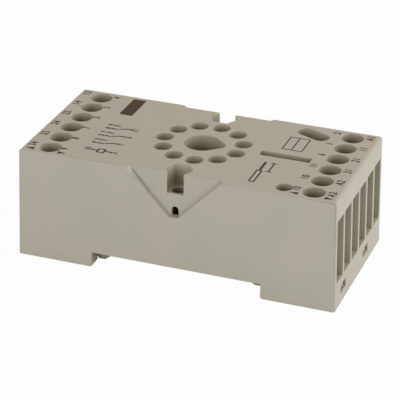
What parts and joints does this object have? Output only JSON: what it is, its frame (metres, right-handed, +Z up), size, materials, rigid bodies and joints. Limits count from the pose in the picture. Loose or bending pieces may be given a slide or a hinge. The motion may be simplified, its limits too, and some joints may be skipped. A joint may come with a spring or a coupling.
{
  "type": "relay socket",
  "caption": "Plug-in relay socket for a 35 mm rail: a keyed ring of pin holes on top, a row of box-clamp screw terminals at each end and a sprung latch under the foot.",
  "frame": {"origin": "bottom centre of the housing, under the middle of the pin circle", "axes": "+X from the numbered contacts' row towards the coil terminals' row, along the length; +Y along the mounting rail, to the back; +Z up, out of the top face"},
  "size_m": [0.0782, 0.0382, 0.0275],
  "materials": {
    "housing_plastic": "fine moulded texture, warm light grey",
    "base_plastic": "moulded, warm grey brown",
    "latch_plastic": "moulded, warm light grey like the housing",
    "spring_steel": "drawn wire",
    "contact_brass": "stamped sheet",
    "screw_steel": "zinc plated",
    "cage_steel": "zinc plated"
  },
  "bodies": {
    "socket": {"housing": "housing_plastic", "base_plate": "base_plastic", "latch_spring": "spring_steel", "contact_1": "contact_brass", "contact_2": "contact_brass", "contact_3": "contact_brass", "contact_4": "contact_brass", "contact_5": "contact_brass", "contact_6": "contact_brass", "contact_7": "contact_brass", "contact_8": "contact_brass", "contact_9": "contact_brass", "contact_10": "contact_brass", "contact_11": "contact_brass"},
    "latch": {"rail_latch": "latch_plastic"},
    "screw_12": {"screw_12": "screw_steel"},
    "cage_12": {"cage_12": "cage_steel"},
    "screw_14": {"screw_14": "screw_steel"},
    "cage_14": {"cage_14": "cage_steel"},
    "screw_22": {"screw_22": "screw_steel"},
    "cage_22": {"cage_22": "cage_steel"},
    "screw_24": {"screw_24": "screw_steel"},
    "cage_24": {"cage_24": "cage_steel"},
    "screw_32": {"screw_32": "screw_steel"},
    "cage_32": {"cage_32": "cage_steel"},
    "screw_34": {"screw_34": "screw_steel"},
    "cage_34": {"cage_34": "cage_steel"},
    "screw_a1": {"screw_a1": "screw_steel"},
    "cage_a1": {"cage_a1": "cage_steel"},
    "screw_11": {"screw_11": "screw_steel"},
    "cage_11": {"cage_11": "cage_steel"},
    "screw_21": {"screw_21": "screw_steel"},
    "cage_21": {"cage_21": "cage_steel"},
    "screw_31": {"screw_31": "screw_steel"},
    "cage_31": {"cage_31": "cage_steel"},
    "screw_a2": {"screw_a2": "screw_steel"},
    "cage_a2": {"cage_a2": "cage_steel"},
    "screw_a2_spare": {"screw_a2_spare": "screw_steel"},
    "cage_a2_spare": {"cage_a2_spare": "cage_steel"}
  },
  "joints": [
    {"name": "latch_pull", "type": "slide", "parent": "socket", "child": "latch", "axis": [-1, 0, 0], "range_m": [0, 0.0025], "stiffness_N_per_m": 1500, "deforming": ["latch_spring"]},
    {"name": "screw_12_turn", "type": "hinge", "parent": "socket", "child": "screw_12", "pos_m": [-0.032, 0.0154, 0.0139], "axis": [0, 0, -1], "range_deg": [0, 2161]},
    {"name": "cage_12_rise", "type": "slide", "parent": "socket", "child": "cage_12", "axis": [0, 0, 1], "range_m": [0, 0.003]},
    {"name": "screw_14_turn", "type": "hinge", "parent": "socket", "child": "screw_14", "pos_m": [-0.032, 0.00924, 0.0139], "axis": [0, 0, -1], "range_deg": [0, 2161]},
    {"name": "cage_14_rise", "type": "slide", "parent": "socket", "child": "cage_14", "axis": [0, 0, 1], "range_m": [0, 0.003]},
    {"name": "screw_22_turn", "type": "hinge", "parent": "socket", "child": "screw_22", "pos_m": [-0.032, 0.00308, 0.0139], "axis": [0, 0, -1], "range_deg": [0, 2161]},
    {"name": "cage_22_rise", "type": "slide", "parent": "socket", "child": "cage_22", "axis": [0, 0, 1], "range_m": [0, 0.003]},
    {"name": "screw_24_turn", "type": "hinge", "parent": "socket", "child": "screw_24", "pos_m": [-0.032, -0.00308, 0.0139], "axis": [0, 0, -1], "range_deg": [0, 2161]},
    {"name": "cage_24_rise", "type": "slide", "parent": "socket", "child": "cage_24", "axis": [0, 0, 1], "range_m": [0, 0.003]},
    {"name": "screw_32_turn", "type": "hinge", "parent": "socket", "child": "screw_32", "pos_m": [-0.032, -0.00924, 0.0139], "axis": [0, 0, -1], "range_deg": [0, 2161]},
    {"name": "cage_32_rise", "type": "slide", "parent": "socket", "child": "cage_32", "axis": [0, 0, 1], "range_m": [0, 0.003]},
    {"name": "screw_34_turn", "type": "hinge", "parent": "socket", "child": "screw_34", "pos_m": [-0.032, -0.0154, 0.0139], "axis": [0, 0, -1], "range_deg": [0, 2161]},
    {"name": "cage_34_rise", "type": "slide", "parent": "socket", "child": "cage_34", "axis": [0, 0, 1], "range_m": [0, 0.003]},
    {"name": "screw_a1_turn", "type": "hinge", "parent": "socket", "child": "screw_a1", "pos_m": [0.032, 0.0154, 0.0139], "axis": [0, 0, -1], "range_deg": [0, 2161]},
    {"name": "cage_a1_rise", "type": "slide", "parent": "socket", "child": "cage_a1", "axis": [0, 0, 1], "range_m": [0, 0.003]},
    {"name": "screw_11_turn", "type": "hinge", "parent": "socket", "child": "screw_11", "pos_m": [0.032, 0.00924, 0.0139], "axis": [0, 0, -1], "range_deg": [0, 2161]},
    {"name": "cage_11_rise", "type": "slide", "parent": "socket", "child": "cage_11", "axis": [0, 0, 1], "range_m": [0, 0.003]},
    {"name": "screw_21_turn", "type": "hinge", "parent": "socket", "child": "screw_21", "pos_m": [0.032, 0.00308, 0.0139], "axis": [0, 0, -1], "range_deg": [0, 2161]},
    {"name": "cage_21_rise", "type": "slide", "parent": "socket", "child": "cage_21", "axis": [0, 0, 1], "range_m": [0, 0.003]},
    {"name": "screw_31_turn", "type": "hinge", "parent": "socket", "child": "screw_31", "pos_m": [0.032, -0.00308, 0.0139], "axis": [0, 0, -1], "range_deg": [0, 2161]},
    {"name": "cage_31_rise", "type": "slide", "parent": "socket", "child": "cage_31", "axis": [0, 0, 1], "range_m": [0, 0.003]},
    {"name": "screw_a2_turn", "type": "hinge", "parent": "socket", "child": "screw_a2", "pos_m": [0.032, -0.00924, 0.0139], "axis": [0, 0, -1], "range_deg": [0, 2161]},
    {"name": "cage_a2_rise", "type": "slide", "parent": "socket", "child": "cage_a2", "axis": [0, 0, 1], "range_m": [0, 0.003]},
    {"name": "screw_a2_spare_turn", "type": "hinge", "parent": "socket", "child": "screw_a2_spare", "pos_m": [0.032, -0.0154, 0.0139], "axis": [0, 0, -1], "range_deg": [0, 2161]},
    {"name": "cage_a2_spare_rise", "type": "slide", "parent": "socket", "child": "cage_a2_spare", "axis": [0, 0, 1], "range_m": [0, 0.003]}
  ],
  "couplings": [
    {"joint": "screw_12_turn", "follows": "cage_12_rise", "rad_per_m": 12566},
    {"joint": "screw_14_turn", "follows": "cage_14_rise", "rad_per_m": 12566},
    {"joint": "screw_22_turn", "follows": "cage_22_rise", "rad_per_m": 12566},
    {"joint": "screw_24_turn", "follows": "cage_24_rise", "rad_per_m": 12566},
    {"joint": "screw_32_turn", "follows": "cage_32_rise", "rad_per_m": 12566},
    {"joint": "screw_34_turn", "follows": "cage_34_rise", "rad_per_m": 12566},
    {"joint": "screw_a1_turn", "follows": "cage_a1_rise", "rad_per_m": 12566},
    {"joint": "screw_11_turn", "follows": "cage_11_rise", "rad_per_m": 12566},
    {"joint": "screw_21_turn", "follows": "cage_21_rise", "rad_per_m": 12566},
    {"joint": "screw_31_turn", "follows": "cage_31_rise", "rad_per_m": 12566},
    {"joint": "screw_a2_turn", "follows": "cage_a2_rise", "rad_per_m": 12566},
    {"joint": "screw_a2_spare_turn", "follows": "cage_a2_spare_rise", "rad_per_m": 12566}
  ]
}
